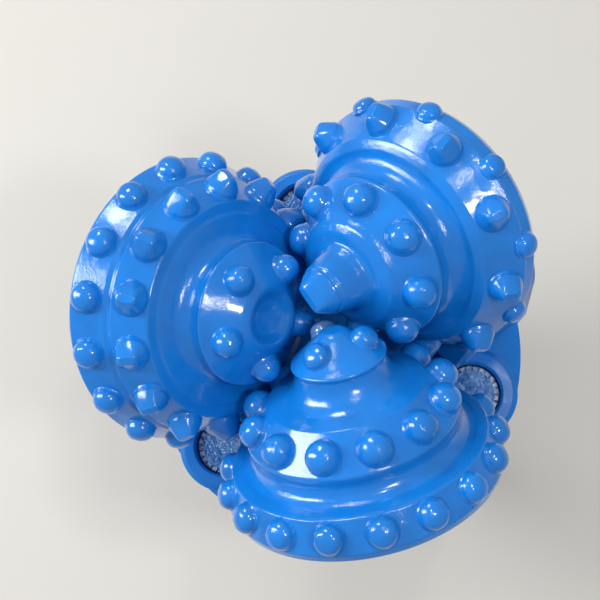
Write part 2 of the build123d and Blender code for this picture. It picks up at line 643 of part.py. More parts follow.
with BuildPart() as seal_form:
    with BuildSketch(SECTION_0):
        with Locations((CONE_BASE_REACH - GLAND_LENGTH / 2, (JOURNAL_RADIUS + GLAND_RADIUS) / 2)):
            Circle(SEAL_SECTION / 2)
    revolve(axis=journal_axis(0))

with BuildPart() as balls_form:
    with Locations(journal_pattern(0).location):
        with PolarLocations(RACE_RADIUS, BALL_COUNT, start_angle=BALL_PHASE):
            with Locations((0, 0, -RACE_REACH)):
                Sphere(BALL_RADIUS)

CONE_FORMS = {
    "journal_bush": bush_form,
    "thrust_washer": washer_form,
    "seal_ring": seal_form,
    "bearing_balls": balls_form,
}

for letter, azimuth in AZIMUTH.items():
    for name, form in CONE_FORMS.items():
        with BuildPart() as placed:
            with Locations(Location((0, 0, 0), (0, 0, azimuth))):
                add(form.part)
        finish(placed, name + "_" + letter)


# ---------------------------------------------------------------- cones
def cone_shell(azimuth, nose, lands, grooves, heel):
    """Turned cone: nose outline, lands with a curved groove after each, heel, base and bore."""
    with BuildPart() as shell:
        with BuildSketch(journal_section(azimuth)):
            with BuildLine():
                Polyline((nose[0][0], 0), *nose, lands[0][0])
                for land, groove in zip(lands, grooves):
                    after_start, after_floor, before_floor, before_end = groove
                    Polyline(land[0], land[1], after_start)
                    ThreePointArc(after_start, after_floor, before_floor)
                    Line(before_floor, before_end)
                for groove, land in zip(grooves, lands[1:]):
                    Line(groove[3], land[0])
                Polyline(lands[-1][0], lands[-1][1], *heel, (CONE_BASE_REACH, CONE_BASE_RADIUS))
                Polyline(
                    (CONE_BASE_REACH, CONE_BASE_RADIUS),
                    (CONE_BASE_REACH, GLAND_RADIUS),
                    (CONE_BASE_REACH - GLAND_LENGTH, GLAND_RADIUS),
                    (CONE_BASE_REACH - GLAND_LENGTH, BUSH_OUTER),
                    (JOURNAL_TOP_REACH, BUSH_OUTER),
                    (JOURNAL_TOP_REACH, LAND_RADIUS + RUNNING_GAP),
                    (WASHER_REACH, LAND_RADIUS + RUNNING_GAP),
                    (WASHER_REACH, PILOT_RADIUS + RUNNING_GAP),
                    (PILOT_TOP_REACH - END_GAP, PILOT_RADIUS + RUNNING_GAP),
                    (PILOT_TOP_REACH - END_GAP, 0),
                    (nose[0][0], 0),
                )
            make_face()
        revolve(axis=journal_axis(azimuth))
        with BuildSketch(journal_section(azimuth)):
            with Locations((RACE_REACH, RACE_RADIUS)):
                Circle(RACE_GROOVE)
        revolve(axis=journal_axis(azimuth), mode=Mode.SUBTRACT)
    return shell


def insert_form(size):
    """Grip and crown of one insert; a crest turns the crown into a chisel."""
    with BuildPart() as form:
        with BuildSketch(Plane.XZ):
            with BuildLine():
                Polyline((0, size.height), (0, -size.grip), (size.radius, -size.grip), (size.radius, 0))
                if size.crest:
                    Line((size.radius, 0), (size.crown_radius, size.height))
                else:
                    ThreePointArc(
                        (size.radius, 0),
                        ((size.radius + size.crown_radius) * DOME_FULLNESS, size.height * DOME_BELT),
                        (size.crown_radius, size.height * DOME_SHOULDER),
                    )
                    Line((size.crown_radius, size.height * DOME_SHOULDER), (0, size.height))
                if size.crest:
                    Line((size.crown_radius, size.height), (0, size.height))
            make_face()
        revolve(axis=Axis.Z)
        if size.crest:
            # two flats leave a crest that lies along the cone
            with BuildSketch(Plane.YZ):
                for side in (1, -1):
                    with BuildLine():
                        Polyline(
                            (side * size.crest / 2, size.height),
                            (side * size.radius, size.height * FLAT_START),
                            (side * size.radius, size.height),
                            close=True,
                        )
                    make_face()
            extrude(amount=size.radius, both=True, mode=Mode.SUBTRACT)
    return form


def insert_row(azimuth, row, name):
    form = insert_form(row.size)
    with BuildPart() as inserts:
        with Locations(journal_pattern(azimuth).location):
            with PolarLocations(row.radius, row.count, start_angle=row.phase):
                with Locations(Location((0, 0, -row.reach), (0, 90 - row.tilt, 0))):
                    add(form.part)
    finish(inserts, name)


def cone(letter, shell, rows):
    """Cone shell drilled for its rows, and the rows of inserts pressed into it."""
    azimuth = AZIMUTH[letter]
    with BuildPart() as drilled:
        add(shell.part)
        for row in rows.values():
            with Locations(journal_pattern(azimuth).location):
                with PolarLocations(row.radius, row.count, start_angle=row.phase):
                    with Locations(Location((0, 0, -row.reach), (0, 90 - row.tilt, 0))):
                        with Locations((0, 0, -row.size.grip)):
                            Cylinder(
                                row.size.radius,
                                row.size.grip + row.size.height,
                                align=(Align.CENTER, Align.CENTER, Align.MIN),
                                mode=Mode.SUBTRACT,
                            )
    finish(drilled, "cone_" + letter)
    for name, row in rows.items():
        insert_row(azimuth, row, name)


cone(
    "a",
    cone_shell(
        AZIMUTH["a"],
        (*NOSE_DISH_A, NOSE_RIM_A),
        (
            land_ends(INNER_A, LAND_MARGIN, CAP_SKIRT),
            land_ends(SECOND_A, LAND_LIP, LAND_MARGIN),
            land_ends(OUTER_A, LAND_MARGIN, LAND_LIP),
        ),
        (GROOVE_A, NOTCH_A),
        (HEEL_CORNER_A,),
    ),
    {"inserts_inner_a": INNER_A, "inserts_second_a": SECOND_A, "inserts_outer_a": OUTER_A},
)

cone(
    "b",
    cone_shell(
        AZIMUTH["b"],
        NOSE_LAND_B,
        (land_ends(INNER_B, LAND_MARGIN, LAND_MARGIN), land_ends(GAUGE_B, LAND_MARGIN, LAND_MARGIN)),
        (GROOVE_B,),
        HEEL_CORNER_B,
    ),
    {
        "insert_nose_b": NOSE_B,
        "inserts_inner_b": INNER_B,
        "inserts_gauge_b": GAUGE_B,
        "inserts_heel_b": HEEL_B,
    },
)

cone(
    "c",
    cone_shell(
        AZIMUTH["c"],
        NOSE_CAP_C,
        (
            land_ends(NOSE_C, LAND_LIP, CAP_SKIRT),
            land_ends(MIDDLE_C, LAND_MARGIN, LAND_MARGIN),
            land_ends(OUTER_C, LAND_LIP, LAND_LIP),
        ),
        (NOSE_GROOVE_C, GROOVE_C),
        (HEEL_CORNER_C,),
    ),
    {"inserts_nose_c": NOSE_C, "inserts_middle_c": MIDDLE_C, "inserts_outer_c": OUTER_C},
)
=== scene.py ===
import json
import math

import bpy
import numpy as np
from mathutils import Matrix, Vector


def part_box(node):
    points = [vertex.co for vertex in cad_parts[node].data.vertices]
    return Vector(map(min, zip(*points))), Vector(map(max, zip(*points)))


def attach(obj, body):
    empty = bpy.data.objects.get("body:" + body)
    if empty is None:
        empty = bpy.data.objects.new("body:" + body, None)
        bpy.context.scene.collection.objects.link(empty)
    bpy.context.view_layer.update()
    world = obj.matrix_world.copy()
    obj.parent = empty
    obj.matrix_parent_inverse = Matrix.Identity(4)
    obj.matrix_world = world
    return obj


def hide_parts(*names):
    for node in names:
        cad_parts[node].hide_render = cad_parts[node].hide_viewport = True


bl_info = {
    "name": "Tricone Drill Bit",
    "version": (1, 0, 0),
    "blender": (4, 5, 0),
    "location": "View3D > Sidebar > Drill bit",
    "description": "Painted cones, carbide inserts, pin thread and finishes of a tricone rock bit",
    "category": "Object",
}

MM = 0.001
POLE_SIZE = 1e-9  # metres; an end row narrower than this is one point

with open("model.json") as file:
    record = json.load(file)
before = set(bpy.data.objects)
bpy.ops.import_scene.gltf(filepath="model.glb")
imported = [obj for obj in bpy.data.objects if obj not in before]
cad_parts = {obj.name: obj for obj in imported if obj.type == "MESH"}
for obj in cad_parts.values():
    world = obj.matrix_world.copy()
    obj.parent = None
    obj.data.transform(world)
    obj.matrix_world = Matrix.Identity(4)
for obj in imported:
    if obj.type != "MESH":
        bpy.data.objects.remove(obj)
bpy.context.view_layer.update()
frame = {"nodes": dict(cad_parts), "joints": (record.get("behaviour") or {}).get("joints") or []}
CONES = ("a", "b", "c")

# ------------------------------------------------------------------ sizes in millimetres
# Turned outlines of the cones as (reach, radius), nose first. Reach runs along the journal's
# axis towards the base. A third number rounds that corner, and "arc" goes through three places.
OUTLINES = {
    "a": (
        (26.6, 0.0), (26.4, 3.0, 6.0), (25.2, 8.0, 4.0), (23.0, 11.9, 2.0), (22.6, 13.4, 1.6),
        (23.6, 16.3, 14.0), (28.3, 23.0, 30.0), (35.1, 32.7, 2.4),
        ("arc", (36.9, 31.6), (41.5, 31.4), (46.2, 36.4)),
        (47.3, 43.4, 1.8), (47.9, 44.8, 1.2), (48.0, 49.6, 1.3), (62.2, 59.1, 1.6), (63.7, 58.3, 1.4),
        (65.4, 60.1, 1.6), (79.85, 66.55, 1.6), (82.4, 65.2, 1.8), (90.0, 56.0, 0.8),
    ),
    "b": (
        (12.4, 0.0), (12.4, 11.6, 0.6), (15.5, 12.5, 6.0), (21.5, 13.9, 4.0), (26.2, 16.0, 3.0),
        (26.7, 20.6, 8.0), (28.8, 24.9, 5.0), (31.6, 26.8, 1.2), (45.4, 39.2, 2.0),
        ("arc", (47.5, 38.4), (52.5, 37.2), (59.6, 46.4)),
        (60.8, 49.2, 2.0), (61.7, 50.8, 1.2), (77.1, 61.2, 1.8), (78.0, 60.3, 0.8), (83.8, 60.9, 1.8),
        (87.6, 58.8, 1.8), (90.0, 56.0, 0.8),
    ),
    "c": (
        (9.4, 0.0), (9.4, 4.4, 2.4), (10.4, 6.3, 3.0), (11.7, 7.6, 4.0), (22.8, 21.7, 2.6),
        ("arc", (24.5, 20.6), (30.0, 21.6), (36.8, 28.4)),
        (38.9, 35.6, 0.8), (40.0, 36.5, 0.8), (54.0, 48.7, 1.8),
        ("arc", (56.5, 48.0), (61.0, 47.0), (66.5, 53.8)),
        (67.0, 56.8, 1.6), (67.55, 58.5, 0.9), (81.65, 63.7, 1.6), (85.2, 62.4, 1.8), (90.0, 56.0, 0.8),
    ),
}
# Bore of every cone, from the base back to the middle, plain where no eye reaches.
BORE = ((90.0, 32.7), (83.0, 32.7), (83.0, 30.05), (50.0, 30.05), (50.0, 22.45), (40.0, 22.45), (40.0, 0.0))
ARC_ENTRY, ARC_EXIT = 1.5, 2.0  # rounding where an arc begins and ends
CORNER_POINTS = 9
LEAST_TURN = 0.02  # radians; a corner that turns less stays as it is
RUN_SHARE = 0.49  # most of a straight run that one rounded corner may use

# One row of inserts: reach and radius of its middle, tilt, count, phase, then the insert's own
# radius, height and crown radius, and the width of its crest (0 for a round crown).
ROWS = {
    "inserts_outer_a": ("a", 73.0, 63.5, 24, 16, 16.5, 7.1, 6.2, 4.0, 0.0),
    "inserts_second_a": ("a", 54.9, 54.2, 34, 14, 13.8, 7.9, 8.6, 4.2, 3.4),
    "inserts_inner_a": ("a", 28.3, 23.0, 55, 5, -24.6, 7.0, 7.6, 3.6, 0.0),
    "inserts_heel_b": ("b", 79.2, 60.4, 6, 10, -10.5, 6.0, 4.2, 3.4, 0.0),
    "inserts_gauge_b": ("b", 69.4, 56.0, 34, 10, 8.5, 7.9, 8.6, 4.2, 3.4),
    "inserts_inner_b": ("b", 38.5, 33.0, 42, 8, -14.2, 7.9, 8.0, 4.4, 0.0),
    "insert_nose_b": ("b", 12.4, 0.0, 90, 1, 78.0, 10.9, 9.6, 6.4, 3.6),
    "inserts_outer_c": ("c", 74.6, 61.1, 20, 17, 3.4, 7.1, 6.2, 4.0, 0.0),
    "inserts_middle_c": ("c", 47.0, 42.6, 41, 12, 10.7, 7.9, 8.0, 4.4, 0.0),
    "inserts_nose_c": ("c", 15.9, 12.9, 52, 3, -40.6, 6.4, 5.2, 3.6, 0.0),
}
FOOT_DEPTH, FOOT_TUCK = 1.5, 0.3  # an insert's foot in the steel, and how much narrower it is
FOOT_DIP = 0.1  # start of the paint fillet below the land
DRAFT = 0.25  # an insert's side leans in by this
FLAT_SPARE = 1.0  # the crest's flats start this far outside the insert
SOFTNESS = 7  # power of the smooth minimum; higher is sharper
LAND_FADE = 2.4  # height over which an insert stops following the curved land
INSERT_STEP = 0.5

# Bare place on the nose row of cone c: reach, radius and turn past the row's phase, then its reach.
BARE_PLACE, BARE_TURN, BARE_REACH = (12.0, 15.5), 240, 12.0

# Section of a nozzle's ring as shares of its wall (from the inner edge outwards) and height.
RING_SECTION = (
    (-0.5, 0.0), (0.9, 0.0), (0.9, 0.5), (0.8, 0.62), (0.7, 1.0), (-0.1, 1.0), (-0.3, 0.8), (-0.5, 0.5),
)
RING_FACETS = 288
NOTCH_DEPTH = 0.5  # share of the ring's height
NOTCH_START, NOTCH_SLOPE = 0.55, 6
NOTCHED_FROM = (-0.4, 0.7)  # the part of the section that a notch cuts

THREAD_FROM, THREAD_TO = 2.4, 98.0
END_ROOT = 42.25  # radius of the thread's root at the pin's end
ROOT_COVER, ROOT_SINK = 0.1, 0.5  # the thread's skin above the pin, and its inside below it
ROOT_FLAT, FLANK = 0.14, 0.66  # shares of half a pitch
THREAD_FACETS, TURN_ROWS = 160, 16  # places round the pin, and rows to one pitch

# ------------------------------------------------------------------ finishes
# Widths of the patterns in millimetres, with noise detail and roughness. The film's tone drifts
# slowly. Orange peel is a few millimetres wide. Dry spray lies in patches, and its grain is drawn
# a little coarser than real so that it shows.
ENAMEL_PATTERNS = {
    "tone": (22.0, 2.0, 0.5),
    "peel": (3.4, 1.0, 0.5),
    "grain": (0.8, 2.0, 0.6),
    "dry": (9.0, 2.0, 0.5),
    "ragged": (2.2, 3.0, 0.7),
    "flecks": (1.3, 2.0, 0.7),
}

# Finish of each kind of plain piece: name, dark and light tone, width of its patches, range of
# roughness, metallic share, and relief in millimetres.
PLAIN_FINISHES = {
    # sintered carbide under thin overspray: dark, satin, faintly grainy
    "nozzle": ("nozzle_carbide", "#22384F", "#4E6C8E", 3.0, (0.3, 0.55), 0.6, 0.08),
    # blued spring steel under overspray: dark blue with a soft metal glint
    "nozzle_ring": ("ring_steel", "#173F77", "#3E6A9E", 3.0, (0.25, 0.5), 0.5, 0.08),
    # wet overspray run over a pressed disc: lumpy, glossy, two blues
    "nozzle_cover": ("cover_overspray", "#1F62AE", "#6596C8", 10.0, (0.08, 0.25), 0.1, 1.2),
    # moulded nitrile rubber: near black and dull
    "nozzle_oring": ("oring_rubber", "#141416", "#222225", 6.0, (0.5, 0.7), 0.0, 0.02),
    "seal_ring": ("seal_rubber", "#141416", "#222225", 6.0, (0.5, 0.7), 0.0, 0.02),
    "reservoir_diaphragm": ("bellows_rubber", "#141416", "#242428", 6.0, (0.5, 0.7), 0.0, 0.02),
    # spring wire under a thin coat: blue with a metal edge
    "reservoir_snap_ring": ("snap_ring_steel", "#1C4F93", "#4A78AE", 4.0, (0.25, 0.45), 0.5, 0.02),
    # turned bearing bronze: warm, brushed gloss
    "journal_bush": ("bush_bronze", "#8E6E38", "#B89856", 8.0, (0.25, 0.4), 1.0, 0.01),
    "thrust_washer": ("washer_bronze", "#8E6E38", "#B89856", 8.0, (0.25, 0.4), 1.0, 0.01),
    # lapped chrome steel: pale mirror
    "bearing_balls": ("ball_steel", "#A8ADB2", "#CDD1D5", 8.0, (0.06, 0.12), 1.0, 0.001),
}
# thin paint on a notched steel ring: blue, with near-white noise patches that are painted glints, not placed
# on the crests
RING_FINISH_WITH_PAINTED_GLINTS = ("ring_overspray_painted_glints", "#4A86C8", "#DCE8F4", 2.4, (0.08, 0.25), 0.1, 0.4)
# oiled machined steel: even grey, satin streaks of light along the ridges
THREAD_FINISH = ("thread_steel", "#9BA1A8", "#AEB4BA", 9.0, (0.32, 0.4), 1.0, 0.02)

# ------------------------------------------------------------------ stage
# Lamps round the cones: azimuth and elevation in degrees, distance, width and height in metres,
# and share of the window's or the fill's power.
LAMPS = (
    ("window", -140.0, 31.0, 1.3, 0.36, 0.85, "key", 1.0),
    ("side_window", 164.0, 37.0, 1.3, 0.24, 0.36, "key", 0.34),
    ("lamp_above", 27.0, 63.0, 1.0, 0.13, 0.13, "key", 0.2),
    ("lamp_small", 85.0, 76.0, 1.0, 0.06, 0.06, "key", 0.08),
    ("sky_fill", 20.0, 80.0, 1.9, 1.6, 1.6, "fill", 1.0),
)
LIT_PLACE = (0.0, 0.0, 0.29)
VIEW_DIRECTION, VIEW_UP = (-0.189, 0.043, -0.981), (-0.727, 0.666, 0.169)
FLOOR_HALF = 30.0  # metres
FLOOR_WAVE = 60.0  # millimetres
SKY_LIGHT, SKY_SEEN = 0.4, 0.8  # strength on the object, and as the far background


def linear(code):
    """Scene-linear colour of an sRGB hex code."""
    channels = [int(code[i : i + 2], 16) / 255 for i in (1, 3, 5)]
    return tuple(c / 12.92 if c <= 0.04045 else ((c + 0.055) / 1.055) ** 2.4 for c in channels) + (1.0,)


def darker(colour, share):
    """The same colour at a share of its light."""
    return tuple(c * share for c in colour[:3]) + (1.0,)


# ------------------------------------------------------------------ settings
class BitPaint(bpy.types.PropertyGroup):
    enamel: bpy.props.FloatVectorProperty(
        name="Enamel", description="Colour of the thick blue enamel", subtype="COLOR", size=4,
        min=0, max=1, default=linear("#0F79D2"),
    )
    bare: bpy.props.FloatVectorProperty(
        name="Bare metal", description="Steel where the enamel is rubbed off", subtype="COLOR", size=4,
        min=0, max=1, default=linear("#8FA6BE"),
    )
    edge: bpy.props.FloatProperty(
        name="Edge rounding", description="How far the enamel rounds the edges of the forging",
        default=0.9 * MM, min=0, subtype="DISTANCE", unit="LENGTH",
    )


class BitCones(bpy.types.PropertyGroup):
    spacing: bpy.props.FloatProperty(
        name="Outline step", description="Distance between two rings of a cone's surface",
        default=0.45 * MM, min=0.1 * MM, subtype="DISTANCE", unit="LENGTH",
    )
    rounds: bpy.props.IntProperty(
        name="Facets round", description="Facets round a cone", default=240, min=24,
    )


class BitInserts(bpy.types.PropertyGroup):
    fillet: bpy.props.FloatProperty(
        name="Paint fillet", description="Radius of the enamel run round the foot of an insert",
        default=0.55 * MM, min=0, subtype="DISTANCE", unit="LENGTH",
    )
    rounds: bpy.props.IntProperty(
        name="Facets round", description="Facets round one insert", default=40, min=12,
    )


class BitRings(bpy.types.PropertyGroup):
    notches: bpy.props.IntProperty(
        name="Ring notches", description="Notches round each nozzle ring", default=24, min=3,
    )


class BitThread(bpy.types.PropertyGroup):
    pitch: bpy.props.FloatProperty(
        name="Pitch", description="Five threads to the inch", default=5.08 * MM, min=MM,
        subtype="DISTANCE", unit="LENGTH",
    )
    height: bpy.props.FloatProperty(
        name="Height", description="Thread height from root to crest", default=2.9 * MM, min=0,
        subtype="DISTANCE", unit="LENGTH",
    )
    taper: bpy.props.FloatProperty(
        name="Taper", description="Growth of radius over length", default=0.125, min=0, max=1,
    )


class BitStage(bpy.types.PropertyGroup):
    lens: bpy.props.FloatProperty(
        name="Lens", description="Focal length of the camera", default=78.0, min=10,
        subtype="DISTANCE_CAMERA",
    )
    eye: bpy.props.FloatVectorProperty(
        name="Eye", description="Place of the camera", default=(0.0972, -0.0245, 0.8595),
        subtype="TRANSLATION", unit="LENGTH",
    )
    floor: bpy.props.FloatVectorProperty(
        name="Floor", description="Colour of the plain floor", subtype="COLOR", size=4, min=0, max=1,
        default=linear("#CFCCC5"),
    )
    key: bpy.props.FloatProperty(
        name="Window", description="Power of the window light in watts", default=13.0, min=0, unit="POWER",
    )
    fill: bpy.props.FloatProperty(
        name="Fill", description="Power of the wide fill light in watts", default=7.0, min=0, unit="POWER",
    )


# ------------------------------------------------------------------ surfaces
def full_turn(count):
    """Angles of evenly spaced places round a circle, the first at 0."""
    return np.arange(count) * 2 * math.pi / count


def grid_mesh(name, surfaces, wrap_rows=False, smooth=True):
    """One mesh from surfaces of the same kind. Each is a grid of points, rows by places round an
    axis: point (i, j) joins (i + 1, j) and (i, j + 1). The places round always close, the rows
    close when wrap_rows is set, and an end row that shrinks to a point is a pole."""
    count, rows, cols = surfaces.shape[:3]
    index = np.arange(rows * cols).reshape(rows, cols)
    for edge in (0, rows - 1):
        if np.ptp(surfaces[0, edge], axis=0).max() < POLE_SIZE:
            index[edge] = index[edge, 0]
    lower = index if wrap_rows else index[:-1]
    upper = np.roll(index, -1, axis=0) if wrap_rows else index[1:]
    quads = np.stack([lower, upper, np.roll(upper, -1, axis=1), np.roll(lower, -1, axis=1)], axis=-1)
    used, quads = np.unique(quads, return_inverse=True)
    quads = quads.reshape(-1, 4)
    at_pole = (quads[:, 1] == quads[:, 2]) | (quads[:, 0] == quads[:, 3])
    fans = quads[at_pole]
    fans = np.where((fans[:, 1] == fans[:, 2])[:, None], fans[:, [0, 1, 3]], fans[:, [0, 1, 2]])
    first = (np.arange(count) * len(used))[:, None, None]
    faces = (quads[~at_pole] + first).reshape(-1, 4).tolist() + (fans + first).reshape(-1, 3).tolist()
    points = surfaces.reshape(count, -1, 3)[:, used].reshape(-1, 3)
    mesh = bpy.data.meshes.new(name)
    mesh.from_pydata(points.tolist(), [], faces)
    mesh.polygons.foreach_set("use_smooth", np.full(len(mesh.polygons), smooth))
    mesh.update()
    return mesh


def show(mesh, body, replaced, material):
    """Link a piece, let it ride on a body in place of CAD nodes, and give it its finish."""
    piece = bpy.data.objects.new(mesh.name, mesh)
    bpy.context.scene.collection.objects.link(piece)
    mesh.materials.append(material)
    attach(piece, body)
    if replaced:
        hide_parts(*replaced)


def cone_axes(letter):
    """Start of a cone's axis, its direction towards the base, and two directions across it."""
    joint = next(j for j in frame["joints"] if j["name"] == "cone_" + letter + "_spin")
    origin = np.array(joint["pos_m"], float)
    along = np.array(joint["axis"], float)
    along /= np.linalg.norm(along)
    side = np.cross((0.0, 0.0, 1.0), along)
    side /= np.linalg.norm(side)
    return origin, along, np.cross(along, side), side


def arc_through(first, middle, last, count=16):
    """Points on the circle through three places: its centre is the circumcentre of their
    triangle, and the angle runs evenly from the first to the last."""
    a, b, c = (np.array(p, float) for p in (first, middle, last))
    d = 2 * (a[0] * (b[1] - c[1]) + b[0] * (c[1] - a[1]) + c[0] * (a[1] - b[1]))
    s = [p @ p for p in (a, b, c)]
    centre = np.array(
        [
            (s[0] * (b[1] - c[1]) + s[1] * (c[1] - a[1]) + s[2] * (a[1] - b[1])) / d,
            (s[0] * (c[0] - b[0]) + s[1] * (a[0] - c[0]) + s[2] * (b[0] - a[0])) / d,
        ]
    )
    turns = np.unwrap([math.atan2(*(p - centre)[::-1]) for p in (a, b, c)])
    angle = np.linspace(turns[0], turns[2], count)
    return centre + np.linalg.norm(a - centre) * np.stack([np.cos(angle), np.sin(angle)], axis=-1)


def rounded_outline(corners, step):
    """Outline with each corner cut to a curve of its own radius and sampled at an even step. A
    rounded corner is the quadratic curve from a point before it to a point after it, each the
    radius times the tangent of half the turn away."""
    points, radii = [], []
    for corner in corners:
        if corner[0] == "arc":
            curve = arc_through(*corner[1:])
            points += list(curve)
            radii += [ARC_ENTRY] + [0.0] * (len(curve) - 2) + [ARC_EXIT]
        else:
            points.append(np.array(corner[:2], float))
            radii.append(corner[2] if len(corner) > 2 else 0.0)
    path = [points[0]]
    for before, here, after, radius in zip(points, points[1:], points[2:], radii[1:]):
        into, out = here - before, after - here
        run_in, run_out = np.linalg.norm(into), np.linalg.norm(out)
        into, out = into / run_in, out / run_out
        turn = math.acos(float(np.clip(into @ out, -1, 1)))
        if radius <= 0 or turn < LEAST_TURN:
            path.append(here)
            continue
        reach = min(radius * math.tan(turn / 2), RUN_SHARE * run_in, RUN_SHARE * run_out)
        t = np.linspace(0, 1, CORNER_POINTS)[:, None]
        start, end = here - into * reach, here + out * reach
        path += list((1 - t) ** 2 * start + 2 * t * (1 - t) * here + t**2 * end)
    path.append(points[-1])
    path = np.array(path)
    length = np.concatenate([[0], np.cumsum(np.linalg.norm(np.diff(path, axis=0), axis=1))])
    keep = np.concatenate([[True], np.diff(length) > 1e-6])
    path, length = path[keep], length[keep]
    even = np.linspace(0, length[-1], int(length[-1] / step) + 2)
    return np.stack([np.interp(even, length, path[:, k]) for k in (0, 1)], axis=-1)


def turn_outline(outline, letter, rounds):
    """Rows of points: axis start + reach along the axis + radius (cosine up + sine sideways)."""
    origin, along, up, side = cone_axes(letter)
    angle = full_turn(rounds)
    ring = np.cos(angle)[:, None] * up + np.sin(angle)[:, None] * side
    reach, radius = outline[:, 0, None, None] * MM, outline[:, 1, None, None] * MM
    return origin + reach * along + radius * ring[None]


def insert_rows(radius, height, crown, crest, bend, fillet, rounds):
    """One insert in its own axes, Z outward and X along the cone. Its outline runs from below
    the curved land, through a small hollow fillet and a straight or bulging side, over a
    rounded shoulder to the middle. Two flats on a crested crown meet the cone softly: the
    distance from the middle is the smooth minimum of the outline and the flats. The foot
    follows the land, a cylinder of radius bend, and less so with height. It stays open in the
    steel. The rows come crown first, so that the faces point outwards."""
    foot = [
        (radius - FOOT_TUCK, -FOOT_DEPTH), (radius + 0.9 * fillet, -FOOT_DIP, 0.2),
        (radius, 0.8 * fillet, 0.6 * fillet),
    ]
    if crest:
        flank = [(radius - DRAFT, height * 0.25, 2.0), (crown, height, 2.2)]
    else:
        low, middle = (radius - DRAFT, 0.12 * height), ((radius + crown) * 0.52, height * 0.6)
        flank = [("arc", low, middle, (crown, height * 0.86)), (crown * 0.5, height * 0.965, 2.0)]
    outline = rounded_outline(foot + flank + [(0.0, height + 0.05)], INSERT_STEP)
    angle = full_turn(rounds)
    cosine, sine = np.cos(angle)[None], np.sin(angle)[None]
    reach, up = outline[:, :1], outline[:, 1:]
    body = reach + 0 * cosine
    if crest:
        start = height * 0.22
        share = np.clip((up - start) / (height - start), 0, 1)
        flat = (radius + FLAT_SPARE) * (1 - share) + crest / 2 * share
        away = flat / np.maximum(np.abs(sine), 1e-4)
        soft = (np.maximum(reach, 1e-6) ** -SOFTNESS + away**-SOFTNESS) ** (-1 / SOFTNESS)
        body = np.where(up > 0.1 * height, soft, body)
    x, y = body * cosine, body * sine
    drop = bend - np.sqrt(np.maximum(bend**2 - y**2, 0)) if bend else 0 * y
    follow = np.clip(1 - up / LAND_FADE, 0, 1)
    return np.stack([x, y, up + 0 * x - drop * follow], axis=-1)[::-1] * MM


# ------------------------------------------------------------------ materials
def add_node(tree, kind, out, inputs, **settings):
    """Add one shader node with its settings. Each input is a fixed value or the output of another
    node, which is linked. Gives back the node's named output."""
    node = tree.nodes.new(kind)
    for key, value in settings.items():
        setattr(node, key, value)
    for socket, value in inputs.items():
        if isinstance(value, bpy.types.NodeSocket):
            tree.links.new(value, node.inputs[socket])
        else:
            node.inputs[socket].default_value = value
    return node.outputs[out] if out else None


def new_material(name):
    """Empty node material, and the object's own coordinates in millimetres."""
    material = bpy.data.materials.new(name)
    material.use_nodes = True
    tree = material.node_tree
    tree.nodes.clear()
    place = add_node(tree, "ShaderNodeTexCoord", "Object", {})
    scale = (1 / MM,) * 3
    place = add_node(tree, "ShaderNodeVectorMath", "Vector", {0: place, 1: scale}, operation="MULTIPLY")
    return material, tree, place


def close_material(tree, inputs):
    """Principled surface with these inputs, joined to the output. Its coat takes its own relief."""
    if "Normal" in inputs:
        inputs = dict(inputs, **{"Coat Normal": inputs["Normal"]})
    surface = add_node(tree, "ShaderNodeBsdfPrincipled", "BSDF", inputs)
    add_node(tree, "ShaderNodeOutputMaterial", None, {"Surface": surface})


def bare_patch(tree, place, film, pattern, spot, bare):
    """Colour and metallic share of a film rubbed off in ragged flecks round a spot."""
    centre = tuple(c / MM for c in spot)
    away = add_node(tree, "ShaderNodeVectorMath", "Value", {0: place, 1: centre}, operation="DISTANCE")
    wander = add_node(
        tree, "ShaderNodeMath", "Value", {0: pattern["ragged"], 1: BARE_REACH * 0.9}, operation="MULTIPLY"
    )
    rim = add_node(tree, "ShaderNodeMath", "Value", {0: away, 1: wander}, operation="ADD")
    inside = add_node(
        tree, "ShaderNodeMapRange", "Result",
        {
            "Value": rim, "From Min": BARE_REACH * 1.1, "From Max": BARE_REACH * 1.3,
            "To Min": 1.0, "To Max": 0.0,
        },
    )
    flecks = add_node(
        tree, "ShaderNodeMapRange", "Result", {"Value": pattern["flecks"], "From Min": 0.4, "From Max": 0.52}
    )
    mask = add_node(tree, "ShaderNodeMath", "Value", {0: inside, 1: flecks}, operation="MULTIPLY")
    colour = add_node(
        tree, "ShaderNodeMix", "Result", {"A": film, "B": bare, "Factor": mask}, data_type="RGBA"
    )
    return colour, add_node(tree, "ShaderNodeMapRange", "Result", {"Value": mask, "To Max": 0.7})


